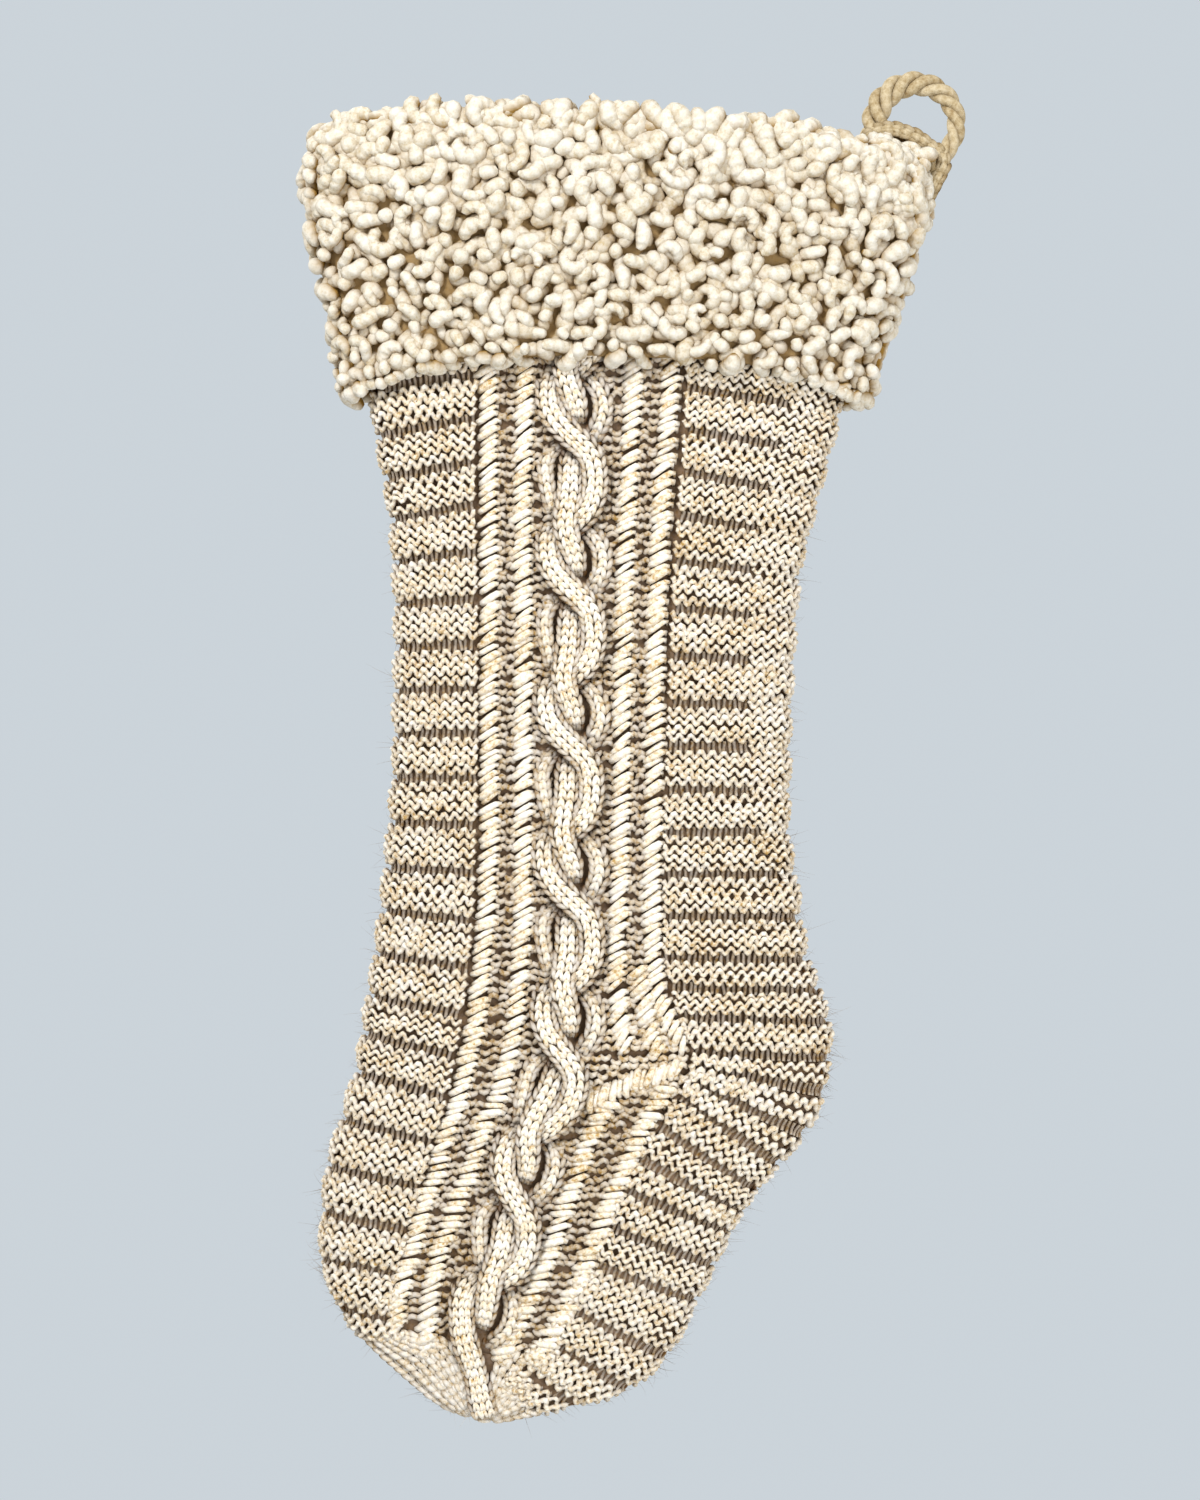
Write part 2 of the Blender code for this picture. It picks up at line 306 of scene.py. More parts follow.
# ---- yarn -----------------------------------------------------------------------------
class Yarn:
    """Collects round tubes and builds them as one mesh, with the values that the wool
    materials read: where round the yarn, how far along it, how much painted shade darkens
    it where it sinks, and a tone that mostly differs at random."""

    def __init__(self, name):
        self.name = name
        self.points, self.quads, self.ends = [], [], []
        self.twist, self.sunk, self.shade = [], [], []
        self.count = 0

    def add(self, paths, radii, sunk=0.0, shade=0.5, sides=6, flat=1.0, up=None):
        """paths is (m, n, 3) or (n, 3); radii, sunk, the amount of painted shade, and shade
        broadcast to (m, n).  flat squashes the section along up."""
        paths = np.asarray(paths, dtype=float)
        if paths.ndim == 2:
            paths = paths[None]
        m, n = paths.shape[:2]
        radii = np.broadcast_to(radii, (m, n))
        tangent = unit(np.gradient(paths, axis=1))
        if up is None:
            normal = carried_normals(tangent)
        else:
            normal = np.broadcast_to(up, paths.shape)
            normal = unit(normal - (normal * tangent).sum(2, keepdims=True) * tangent)
        side = np.cross(tangent, normal)
        turn = np.arange(sides) * 2 * np.pi / sides
        c, s = np.cos(turn)[None, None, :, None], np.sin(turn)[None, None, :, None]
        ring = (paths[:, :, None] + radii[:, :, None, None]
                * (c * flat * normal[:, :, None] + s * side[:, :, None]))
        along = np.concatenate([np.zeros((m, 1)), np.cumsum(
            np.linalg.norm(np.diff(paths, axis=1), axis=2), axis=1)], axis=1)
        twist = np.stack(np.broadcast_arrays(np.cos(turn), np.sin(turn), along[:, :, None]),
                         axis=-1)
        index = self.count + np.arange(m * n * sides).reshape(m, n, sides)
        here, there = index, np.roll(index, -1, axis=2)
        quads = np.stack([here[:, :-1], there[:, :-1], there[:, 1:], here[:, 1:]], axis=-1)
        self.points.append(ring.reshape(-1, 3))
        self.twist.append(twist.reshape(-1, 3))
        self.sunk.append(np.broadcast_to(np.broadcast_to(sunk, (m, n))[:, :, None],
                                         (m, n, sides)).reshape(-1))
        self.shade.append(np.broadcast_to(np.broadcast_to(shade, (m, n))[:, :, None],
                                          (m, n, sides)).reshape(-1))
        self.quads.append(quads.reshape(-1, 4))
        self.ends.append(np.concatenate([index[:, 0, ::-1], index[:, -1]]))
        self.count += m * n * sides

    def build(self, material):
        points = np.concatenate(self.points) * MM
        quads = np.concatenate(self.quads)
        mesh = bpy.data.meshes.new(self.name)
        loops = np.concatenate([quads.reshape(-1)] + [g.reshape(-1) for g in self.ends])
        sizes = np.concatenate([np.full(len(quads), 4)]
                               + [np.full(len(g), g.shape[1]) for g in self.ends])
        starts = np.concatenate([[0], np.cumsum(sizes)[:-1]])
        mesh.vertices.add(len(points))
        mesh.vertices.foreach_set("co", points.reshape(-1).astype(np.float32))
        mesh.loops.add(len(loops))
        mesh.loops.foreach_set("vertex_index", loops.astype(np.int32))
        mesh.polygons.add(len(sizes))
        mesh.polygons.foreach_set("loop_start", starts.astype(np.int32))
        mesh.polygons.foreach_set("loop_total", sizes.astype(np.int32))
        mesh.update(calc_edges=True)
        for name, kind, parts in (("twist", "FLOAT_VECTOR", self.twist),
                                  ("sunk", "FLOAT", self.sunk), ("shade", "FLOAT", self.shade)):
            give(mesh, name, kind, np.concatenate(parts))
        mesh.shade_smooth()
        mesh.materials.append(material)
        return placed(self.name, mesh)


def carried_normals(tangent):
    """A normal at each point of many paths, carried along so that it never flips."""
    m, n = tangent.shape[:2]
    axis = np.where(np.abs(tangent[:, 0, 1:2]) > 0.8, [[1.0, 0, 0]], [[0, 1.0, 0]])
    normals = np.empty((m, n, 3))
    for k in range(n):
        axis = unit(axis - (axis * tangent[:, k]).sum(1, keepdims=True) * tangent[:, k])
        normals[:, k] = axis
    return normals


# ---- materials ------------------------------------------------------------------------
def wool_material(name, light, middle, dark, deep, flank=0.30, falloff=1.4, bump=0.5):
    """Yarn painted with shade: darker where it sinks and on the side of each strand that
    faces in, which leaves it lighter on its proud side; with plied twist, fibre grain and
    heathered patches of its own colour."""
    material = bpy.data.materials.new(name)
    material.use_nodes = True
    nodes, links = material.node_tree.nodes, material.node_tree.links
    shader = nodes["Principled BSDF"]
    shader.inputs["Roughness"].default_value = 0.9
    shader.inputs["Specular IOR Level"].default_value = 0.03

    def node(kind, **values):
        made = nodes.new(kind)
        for key, value in values.items():
            if hasattr(made, key):
                setattr(made, key, value)
            else:
                made.inputs[key].default_value = value
        return made

    def math_node(operation, a, b=None, clamp=False):
        made = node("ShaderNodeMath", operation=operation, use_clamp=clamp)
        for socket, value in zip(made.inputs, (a, b)):
            if value is None:
                continue
            if isinstance(value, (int, float)):
                socket.default_value = value
            else:
                links.new(value, socket)
        return made.outputs[0]

    def weighted(*terms):
        """The sum of products, each a socket and its weight."""
        total = math_node("MULTIPLY", *terms[0])
        for term in terms[1:]:
            total = math_node("ADD", total, math_node("MULTIPLY", *term))
        return total

    where = node("ShaderNodeTexCoord").outputs["Object"]

    def noise(**values):
        texture = node("ShaderNodeTexNoise", **values)
        links.new(where, texture.inputs["Vector"])
        return texture.outputs["Fac"]

    twist = node("ShaderNodeAttribute", attribute_name="twist")
    sunk = node("ShaderNodeAttribute", attribute_name="sunk").outputs["Fac"]
    shade = node("ShaderNodeAttribute", attribute_name="shade").outputs["Fac"]
    split = node("ShaderNodeSeparateXYZ")
    links.new(twist.outputs["Vector"], split.inputs[0])
    lay = math_node("MULTIPLY", split.outputs[2], 1.9)
    ply = weighted((math_node("COSINE", lay), split.outputs[0]),
                   (math_node("SINE", lay), split.outputs[1]))
    fibre = noise(Scale=900.0, Detail=4.0, Roughness=0.65)
    cloud = noise(Scale=26.0, Detail=2.0)
    flock = noise(Scale=240.0, Detail=2.0)
    tone = weighted((shade, 0.45), (fibre, 1.35), (flock, 0.35), (cloud, 0.25), (ply, 0.10))
    tone = math_node("SUBTRACT", tone, 0.68, clamp=True)
    ramp = node("ShaderNodeValToRGB")
    ramp.color_ramp.elements[0].color = (*dark, 1)
    ramp.color_ramp.elements[0].position = 0.12
    ramp.color_ramp.elements[1].color = (*light, 1)
    ramp.color_ramp.elements[1].position = 0.80
    ramp.color_ramp.elements.new(0.46).color = (*middle, 1)
    links.new(tone, ramp.inputs[0])
    # Painted shade: the colour is mixed towards deep, the painted shade colour, by how far the
    # yarn sinks and by its inward flank.
    shade_mix = node("ShaderNodeMix", data_type="RGBA")
    shade_mix.inputs["B"].default_value = (*deep, 1)
    links.new(ramp.outputs[0], shade_mix.inputs["A"])
    # Painted shade on the flank of each strand that faces in, away from its outward side; flank
    # sets its strength and falloff how fast it fades.
    flank_shade = math_node("MULTIPLY", math_node("SUBTRACT", 1.0, split.outputs[0]), 0.5)
    flank_shade = math_node("MULTIPLY", math_node("POWER", flank_shade, falloff), flank * 2.6)
    shade_amount = math_node("ADD", math_node("MULTIPLY", sunk, 0.92), flank_shade, clamp=True)
    links.new(math_node("MINIMUM", shade_amount, 0.96), shade_mix.inputs["Factor"])
    links.new(shade_mix.outputs["Result"], shader.inputs["Base Color"])

    dent = node("ShaderNodeBump", Strength=bump, Distance=0.0006)
    links.new(weighted((fibre, 0.8), (ply, 0.35), (flock, 0.8)), dent.inputs["Height"])
    links.new(dent.outputs[0], shader.inputs["Normal"])
    return material


# ---- knitting -------------------------------------------------------------------------
def bump_row(yarn, place, length, out, rng, sunk=0.0, rise=1.35, radius=YARN, fine=8):
    """One course of purl stitches: a wave whose crests and troughs stand proud and whose
    legs sink between them.  place(q) gives position, normal and the fabric's up."""
    count = max(2, int(round(length / STITCH)))
    k = np.arange(count * fine + 1)
    q = k / fine * (length / count)
    knots = np.linspace(0, length, count + 1)
    wobble = np.interp(q, knots, rng.normal(0, 0.36, count + 1))
    swell = np.interp(q, knots, rng.uniform(0.80, 1.16, count + 1))
    drift = np.interp(q, knots, np.cumsum(rng.normal(0, 0.12, count + 1)))
    phase = 2 * np.pi * k / fine + drift
    proud = np.cos(2 * phase)
    position, normal, up = place(q)
    lift = rise * np.cos(phase) * swell + wobble
    path = (position + up * lift[:, None]
            + normal * (out + 0.32 * proud + 0.20 * np.cos(phase) + 0.4 * wobble)[:, None])
    thick = radius * swell * (0.94 + 0.09 * proud)
    # Painted shade: the legs that sink between the crests are painted darker, on top of the shade
    # given.
    depth = 0.14 - 0.14 * proud + sunk
    # The 0.1 * cos(phase) term is a painted highlight on the upper half of each wave; the rest is
    # tone that differs at random.
    shade = np.interp(q, knots, rng.uniform(0.2, 0.85, count + 1)) + 0.1 * np.cos(phase)
    yarn.add(path, thick, sunk=np.clip(depth, 0, 1), shade=shade, up=normal[None])


def welt_place(outer, inner, depth, half_width, start, side):
    """place(q) for a row that starts start mm round the edge and runs to its inner end.
    side is -1 on the front, +1 on the back."""
    line = inner - outer
    reach = np.linalg.norm(line)
    line = line / reach
    rise = np.array((-line[1], line[0]))
    rise = rise if rise[1] > 0 else -rise

    def place(q):
        d, y, n_in, n_y = edge_profile(start + q, depth, half_width)
        xz = outer + line * d[:, None]
        y = np.where(q > 4, np.minimum(y, FRONT.y(xz[:, 0], xz[:, 1])), y)
        position = in_space(xz, -side * y)
        normal = np.stack([-line[0] * n_in, -side * n_y, -line[1] * n_in], axis=-1)
        up = np.broadcast_to(np.array((rise[0], 0, rise[1])), position.shape)
        return position, normal, up

    return place


def ticks(yarn, place, length, height, rng):
    """The sunken knit row between two welts: a fence of short upright legs."""
    count = int(length / (STITCH / 2))
    q = (np.arange(count) + 0.5) * (STITCH / 2) + rng.normal(0, 0.15, count)
    position, normal, up = place(q)
    steps = np.linspace(-1, 1, 5)
    lean = rng.normal(0, 0.25, count)
    across = np.cross(up, normal)
    path = (position[:, None] + up[:, None] * (steps[None, :, None] * height * 0.75)
            + across[:, None] * (lean[:, None] * steps[None])[:, :, None]
            + normal[:, None] * (-0.5 + 0.8 * steps ** 2)[None, :, None])
    # Painted shade: the sunken row is painted dark, darkest at the middle of each leg, where it
    # lies deepest.
    yarn.add(path, 0.80, sunk=np.broadcast_to(0.70 - 0.20 * steps ** 2, (count, 5)),
             shade=rng.uniform(0.2, 0.9, (count, 1)), up=normal[:, None])


def place_across(table, number, half_width, side, start):
    """place(q) and its length for a row at a number of the table, from start mm round the
    edge to the lane's inner end."""
    xo, zo, xi, zi = keyed(table, number)
    outer, inner = np.array((xo, zo)), np.array((xi, zi))
    depth, reach = depth_at(zo), np.linalg.norm(inner - outer)
    half_width = max(half_width, reach + 6.0)
    q = np.linspace(0, reach + depth, 200)
    q_end = float(np.interp(reach, edge_profile(q, depth, half_width)[0], q))
    return welt_place(outer, inner, depth, half_width, start, side), q_end - start


def welt_panel(yarn, table, half_width, side=-1, band=None, wrap=1.5, fine=8):
    """A lane of welts.  band(number) gives how far from the edge the plain knitted band
    reaches, where grooves are filled in."""
    for number in range(int(table[0][0]), int(table[-1][0])):
        here, there = keyed(table, number), keyed(table, number + 1)
        pitch = (np.hypot(*(here[:2] - there[:2])) + np.hypot(*(here[2:] - there[2:]))) / 2
        rows = max(2, round((pitch - GROOVE) / ROW))
        share = GROOVE / pitch
        clear = 0.0 if band is None else band(number)
        place, length = place_across(table, number, half_width, side, clear)
        ticks(yarn, place, max(length, STITCH), GROOVE, RANDOM)
        if clear > STITCH:
            bump_row(yarn, place_across(table, number, half_width, side, -wrap)[0],
                     clear + wrap, 0.9, RANDOM)
        for row in range(rows):
            v = (2 * row + 1) / rows - 1
            at = number + share / 2 + (1 - share) * (v + 1) / 2
            place, length = place_across(table, at, half_width, side, -wrap)
            out = BUMP_RISE * math.sqrt(max(0.0, 1 - 0.85 * v * v)) - 1.0
            size = float(np.clip((pitch - GROOVE) / rows / ROW, 0.85, 1.2))
            # Painted shade: rows towards the grooves, which stand lower, are painted darker.
            bump_row(yarn, place, length, out, RANDOM, sunk=0.16 * v * v, fine=fine,
                     rise=1.35 * size, radius=YARN * size)


def rib(yarn, route, width=4.5, pitch=6.0):
    """A twisted rib: for every two rows two slanting strands, the lower one the smaller."""
    count = int(route.length / pitch)
    at = (np.arange(count) + 0.5) * pitch + RANDOM.normal(0, 0.3, count)
    centre, down = route.at(at), route.heading(at)
    across = rightward(down)
    stroke = np.array(((-1.0, 0.46, -1.2), (-0.80, 0.40, 0.8), (-0.38, 0.18, 2.0),
                       (0.12, -0.10, 2.6), (0.58, -0.32, 2.4), (0.90, -0.36, 1.3),
                       (1.0, -0.12, -0.8)))
    for shift, size, reach, rise in ((-0.26, 1.10, 1.0, 1.0), (0.24, 0.92, 0.90, 0.75)):
        a = stroke[None, :, 0] * width * reach * RANDOM.uniform(0.86, 1.10, (count, 1))
        a = a + RANDOM.normal(0, 0.45, (count, 1))
        b = (stroke[None, :, 1] * 5.6 * RANDOM.uniform(0.7, 1.25, (count, 1)) + shift * pitch
             + RANDOM.normal(0, 0.3, (count, 1)))
        xz = centre[:, None] + across[:, None] * a[:, :, None] + down[:, None] * b[:, :, None]
        out = stroke[None, :, 2] * rise + RANDOM.normal(0, 0.25, (count, 1))
        y = FRONT.y(xz[..., 0], xz[..., 1]) - out - 0.2
        path = in_space(xz, y)
        thick = 1.36 * size * np.array((0.60, 0.95, 1.08, 1.10, 1.0, 0.85, 0.55))
        # Painted shade: each stroke is painted darker where it dips into the fabric.
        yarn.add(path, thick[None] * RANDOM.uniform(0.86, 1.12, (count, 1)),
                 sunk=np.clip(0.48 - 0.21 * (stroke[None, :, 2] + 0 * a), 0, 1),
                 shade=RANDOM.uniform(0.2, 0.95, (count, 1)), up=OUT[None, None])


def gutter(yarn, left, right, start, end, out=0.6, sunk=0.42):
    """Sunken purl stitches that fill the strip between two upright columns, painted in shade:
    sunk sets how dark, and the ends of each stitch are darker still.
    """
    z = np.arange(start, end, -3.5)
    for height in z:
        xl, xr = left(height), right(height)
        width = xr - xl
        if width < 1.5:
            continue
        count = max(1, int(round(width / 3.9)))
        x = xl + (np.arange(count) + 0.5) / count * width + RANDOM.normal(0, 0.3, count)
        zz = height + RANDOM.normal(0, 0.6, count)
        steps = np.linspace(-1, 1, 5)
        half = width / count * 0.5
        px = x[:, None] + steps[None] * half
        pz = zz[:, None] + (0.7 - 1.5 * steps[None] ** 2) * RANDOM.choice((-1, 1), (count, 1))
        py = FRONT.y(px, pz) - out - 0.7 * (1 - steps[None] ** 2)
        path = np.stack([px, py, pz], axis=-1)
        yarn.add(path, 1.15 * np.array((0.7, 1, 1.1, 1, 0.7))[None],
                 sunk=np.broadcast_to(sunk + 0.2 * steps[None] ** 2, px.shape),
                 shade=RANDOM.uniform(0.1, 0.8, (count, 1)), up=OUT[None, None])


# The strands that show in one repeat of the cable: share of the repeat down from the tip,
# share of the half width to the right, height over the fabric.
STRAND_OVER = ((-0.05, -0.52, -1.8), (0.04, -0.68, 0.8), (0.11, -0.72, 1.8),
               (0.20, -0.68, 2.6), (0.29, -0.50, 3.6), (0.38, -0.16, 4.4),
               (0.46, 0.22, 4.8), (0.54, 0.47, 4.6), (0.64, 0.56, 4.0), (0.74, 0.56, 3.5),
               (0.83, 0.48, 3.2), (0.90, 0.32, 2.8), (0.96, 0.08, 1.6), (1.0, -0.14, -0.6))
STRAND_TONGUE = ((0.50, -0.02, -1.6), (0.57, -0.08, 1.2), (0.66, -0.10, 2.4),
                 (0.76, -0.12, 2.8), (0.86, -0.18, 3.2), (0.96, -0.24, 3.8),
                 (1.05, -0.18, 4.2), (1.12, -0.06, 3.8), (1.19, 0.04, 3.0), (1.24, 0.08, 2.4),
                 (1.28, 0.10, 1.0), (1.31, 0.10, -1.6))
STRAND_LEFT = ((0.45, -0.44, -1.8), (0.50, -0.64, 0.4), (0.58, -0.78, 1.4),
               (0.68, -0.76, 1.8), (0.78, -0.68, 1.8), (0.86, -0.60, 1.2),
               (0.94, -0.50, -1.2))
STRAND_RIGHT = ((-0.02, 0.22, -1.8), (0.04, 0.50, 0.4), (0.11, 0.70, 1.6), (0.19, 0.78, 2.0),
                (0.27, 0.76, 2.0), (0.34, 0.64, 1.4), (0.40, 0.52, 0.2), (0.46, 0.40, -1.8))
# The last strand, which runs on to the tip of the toe.
STRAND_LAST = ((-0.05, -0.52, -1.8), (0.04, -0.68, 0.8), (0.11, -0.72, 1.8),
               (0.20, -0.66, 2.8), (0.32, -0.42, 3.4), (0.46, -0.12, 3.4),
               (0.62, 0.04, 3.2), (0.80, 0.06, 2.8), (1.0, 0.06, 2.4))


def chain(yarn, spine, half, out, low, rng, columns=(-0.5, 0.5), pitch=3.7, leg=5.8,
          radius=1.08, arch=0.50):
    """Columns of knit stitches laid along a dense line: each stitch is two slanting legs
    that meet at its lower end.  half, the half width, and low, the painted shade, are values
    for every point of the line."""
    lengths = distances(spine)
    total = lengths[-1]

    def spot(length):
        return np.stack([np.interp(length, lengths, spine[:, j]) for j in range(3)], axis=-1)

    count = max(2, int(total / pitch))
    base = (np.arange(count) + 0.5) * total / count
    steps = np.linspace(0, 1, 6)
    side = unit(np.cross(unit(spot(base + 0.8) - spot(base - 0.8)), out))
    width = np.interp(base, lengths, half)
    sunk = np.interp(base, lengths, low)
    gap = 2.0 / (2 * len(columns))
    for column in columns:
        for way in (-1, 1):
            along = (steps - 0.62)[None] * leg + base[:, None] + rng.normal(0, 0.2, (count, 1))
            spread = column + way * gap * (1.02 - 0.86 * steps)[None]
            spread = spread + rng.normal(0, 0.03, (count, 1))
            bulge = np.sqrt(np.clip(1 - 0.8 * spread ** 2, 0, 1)) * width[:, None] * arch
            crest = 1.15 * np.sin(np.pi * steps) ** 0.7 - 1.5
            path = (spot(along.reshape(-1)).reshape(count, 6, 3)
                    + side[:, None] * (spread * width[:, None])[:, :, None]
                    + out * (bulge + crest[None])[:, :, None])
            thick = radius * np.array((0.55, 0.95, 1.1, 1.08, 0.9, 0.5))
            # Painted shade: low, plus more at both ends of each leg and towards the edges of the
            # columns.
            yarn.add(path, thick[None] * rng.uniform(0.90, 1.10, (count, 1)),
                     sunk=np.clip(sunk[:, None] + (steps[None] - 0.5) ** 2
                                  + 0.70 * np.clip(spread, -1, 1) ** 4, 0, 1),
                     shade=rng.uniform(0.3, 1.0, (count, 1)), up=out)


def cable_strand(yarn, route, shape, first_tip, repeats, half, columns):
    """One strand in every repeat: a soft core painted mostly in shade, and columns of knit
    stitches on it.  half is its half width at its two ends, columns the number of columns."""
    shape = np.asarray(shape, dtype=float)
    for k in range(repeats):
        fine = smooth_rows(shape, np.linspace(0, len(shape) - 1, 90))
        at = first_tip + (k + fine[:, 0]) * CABLE_REPEAT
        keep = (at > 0.5) & (at < route.length - 1.0)
        if keep.sum() < 12:
            continue
        fine, at = fine[keep], at[keep]
        xz, down = route.at(at), route.heading(at)
        across = rightward(down)
        squeeze = np.clip((route.length - at) / 30.0, 0.72, 1.0)
        xz = xz + across * (fine[:, 1] * CABLE_HALF * squeeze)[:, None]
        y = FRONT.y(xz[:, 0], xz[:, 1]) - (1.25 * fine[:, 2] - 0.4) * squeeze
        spine = in_space(xz, y)
        # Painted shade: the strand is painted darker where it dips towards the fabric.
        low = np.clip(0.40 - 0.15 * fine[:, 2], 0, 1)
        wide = np.interp(np.arange(len(at)), (0, 0.6 * len(at), len(at)), (half[0], *half))
        # The core shows only in the gaps between the stitches and is painted mostly in shade.
        yarn.add(spine + np.array((0, 1.6, 0)), wide * squeeze * 0.9,
                 sunk=np.clip(0.60 + low, 0, 0.95), shade=0.3, sides=10, flat=0.5,
                 up=OUT[None, None])
        middles = (2 * np.arange(columns) + 1) / columns - 1
        chain(yarn, spine, wide * squeeze, OUT, low, RANDOM, columns=middles,
              pitch=3.5, leg=5.4 - 0.2 * columns, radius=1.24 - 0.11 * columns)


# ---- ground fabric --------------------------------------------------------------------
def shell(name, points, thickness, material, sunk):
    """A thin shell over a grid of points, thickened to its inside and evenly darkened by
    painted shade, sunk setting how much.
    """
    m, n = points.shape[:2]
    index = np.arange(m * n).reshape(m, n)
    quads = np.stack([index[:-1, :-1], index[1:, :-1], index[1:, 1:], index[:-1, 1:]],
                     axis=-1).reshape(-1, 4)
    mesh = bpy.data.meshes.new(name)
    mesh.from_pydata((points.reshape(-1, 3) * MM).tolist(), [], quads.tolist())
    mesh.update()
    if sum(face.center[1] * face.normal[1] for face in mesh.polygons) < 0:
        mesh.flip_normals()
    mesh.shade_smooth()
    give(mesh, "twist", "FLOAT_VECTOR", np.tile((1.0, 0.0, 0.0), m * n))
    give(mesh, "sunk", "FLOAT", np.full(m * n, sunk))
    give(mesh, "shade", "FLOAT", np.full(m * n, 0.35))
    mesh.materials.append(material)
    thing = placed(name, mesh)
    solid = thing.modifiers.new("thickness", "SOLIDIFY")
    solid.thickness = thickness * MM
    solid.offset = -1.0
    return thing


def patch(table, first, last, left, right, inset, rows=60, columns=40):
    """A grid of points over part of a tube, between two courses and two places round."""
    s, u = np.meshgrid(np.linspace(first, last, rows), np.linspace(left, right, columns),
                       indexing="ij")
    return on_tube(table, s, u, inset)


# ---- boucle ---------------------------------------------------------------------------
def cuff_frame(s, u, inset):
    """Position, outward normal, and the directions round and up, on the cuff."""
    here = on_tube(CUFF, s, u, inset)
    round_it = unit(on_tube(CUFF, s, u + 0.004, inset) - on_tube(CUFF, s, u - 0.004, inset))
    up = (on_tube(CUFF, np.clip(s - 0.2, 0, 5), u, inset)
          - on_tube(CUFF, np.clip(s + 0.2, 0, 5), u, inset))
    up = unit(up - (up * round_it).sum(-1, keepdims=True) * round_it)
    return here, np.cross(round_it, up), round_it, up


def cuff_sites(spacing, rng, first=0.1, last=4.92):
    """Scattered places on the cuff, evenly spread, as arrays of s and u."""
    rows, columns = [], []
    for k, s in enumerate(np.arange(first, last, spacing * 0.87 / COURSE)):
        ring = on_tube(CUFF, s, np.linspace(0, 1, 500))
        lengths = distances(ring)
        at = np.arange(0.5 * (k % 2), lengths[-1] / spacing) * spacing
        at = at + rng.uniform(-0.3, 0.3, len(at)) * spacing
        columns.append(np.interp(at % lengths[-1], lengths, np.linspace(0, 1, 500)))
        rows.append(np.full(len(at), s) + rng.uniform(-0.3, 0.3, len(at)) * spacing / COURSE)
    return np.clip(np.concatenate(rows), 0, 4.98), np.concatenate(columns)


def nubs(yarn, centre, normal, round_it, up, height, grade, rng):
    """Curls, beans and beads of thick boucle.  grade 1 gives large curls, 0 small beads."""
    m, n = len(centre), 9
    t = np.linspace(0, 1, n)[None]
    kind = rng.uniform(0, 1, (m, 1)) + 0.35 * (grade[:, None] - 0.5)
    curl, bean = kind > 0.80, (kind > 0.32) & (kind <= 0.80)
    size = 0.98 + 0.40 * grade[:, None] + rng.uniform(-0.14, 0.14, (m, 1))

    def each(low, high):
        return rng.uniform(low, high, (m, 1))

    def by_kind(of_curl, of_bean, of_bead):
        return np.where(curl, of_curl, np.where(bean, of_bean, of_bead))

    sweep = by_kind(each(3.0, 4.9), each(0.3, 1.8), each(0.2, 0.8))
    length = size * by_kind(each(12.0, 15.0), each(7.0, 10.5), each(3.6, 5.0))
    bend = length / sweep
    angle = sweep * (t - 0.5)
    a, b = bend * np.sin(angle), bend * (np.cos(angle) - np.sin(sweep / 2) / (sweep / 2))
    turn = each(0, 2 * np.pi)
    p = a * np.cos(turn) - b * np.sin(turn)
    q = a * np.sin(turn) + b * np.cos(turn)
    tilt = rng.normal(0, 0.28, (m, 2))
    h = (height[:, None] + 1.5 * np.sin(np.pi * t) - 0.9
         + p * tilt[:, :1] + q * tilt[:, 1:] + np.where(curl, 1.6 * (t - 0.5), 0))
    path = (centre[:, None] + round_it[:, None] * p[:, :, None] + up[:, None] * q[:, :, None]
            + normal[:, None] * h[:, :, None])
    lump = 1 + 0.10 * np.sin(2 * np.pi * (t * each(0.8, 1.6) + each(0, 1)))
    body = size * by_kind(2.3, 2.65, 2.5) * each(0.88, 1.12)
    thick = body * lump * (0.42 + 0.58 * np.sin(np.pi * t) ** 0.45)
    # Painted shade: nubs that lie deeper, and the ends of each nub, are painted darker.
    sunk = np.clip(-0.02 - 0.13 * (h + 1.5) + 0.22 * (1 - np.sin(np.pi * t)), 0, 0.9)
    yarn.add(path, thick, sunk=sunk, shade=each(0.3, 0.9), sides=9, up=normal[:, None])


def corner_curls(yarn, rng):
    """Curls that fill the corner under the loop's sewn-down ends."""
    x, y = (grid.reshape(-1) for grid in np.meshgrid(np.linspace(-16, 3.5, 9), (-7.0, 0.0, 7.0)))
    centre = np.stack([x + rng.uniform(-1, 1, 27), y, -17.4 - 0.38 * (x + 17)], axis=-1)
    normal = unit(np.stack([0.15 + 0 * x, y / 8, 1 + 0 * x], axis=-1))
    along = np.broadcast_to((0.93, 0, -0.36), centre.shape)
    nubs(yarn, centre, normal, along, np.cross(normal, along), rng.uniform(-2.5, -0.5, 27),
         np.full(27, 0.3), rng)


def edge_nubs(yarn, s, count, inset, lean, rise, heights, grades, rng):
    """A ring of nubs round one edge of the cuff, leaning out over it."""
    u = (np.arange(count) + rng.uniform(-0.35, 0.35, count)) / count % 1
    centre, normal, round_it = cuff_frame(np.full(count, s), u, inset)[:3]
    over = unit(lean * normal + np.array((0, 0, rise)))
    nubs(yarn, centre, over, round_it, np.cross(over, round_it), rng.uniform(*heights, count),
         rng.uniform(*grades, count), rng)


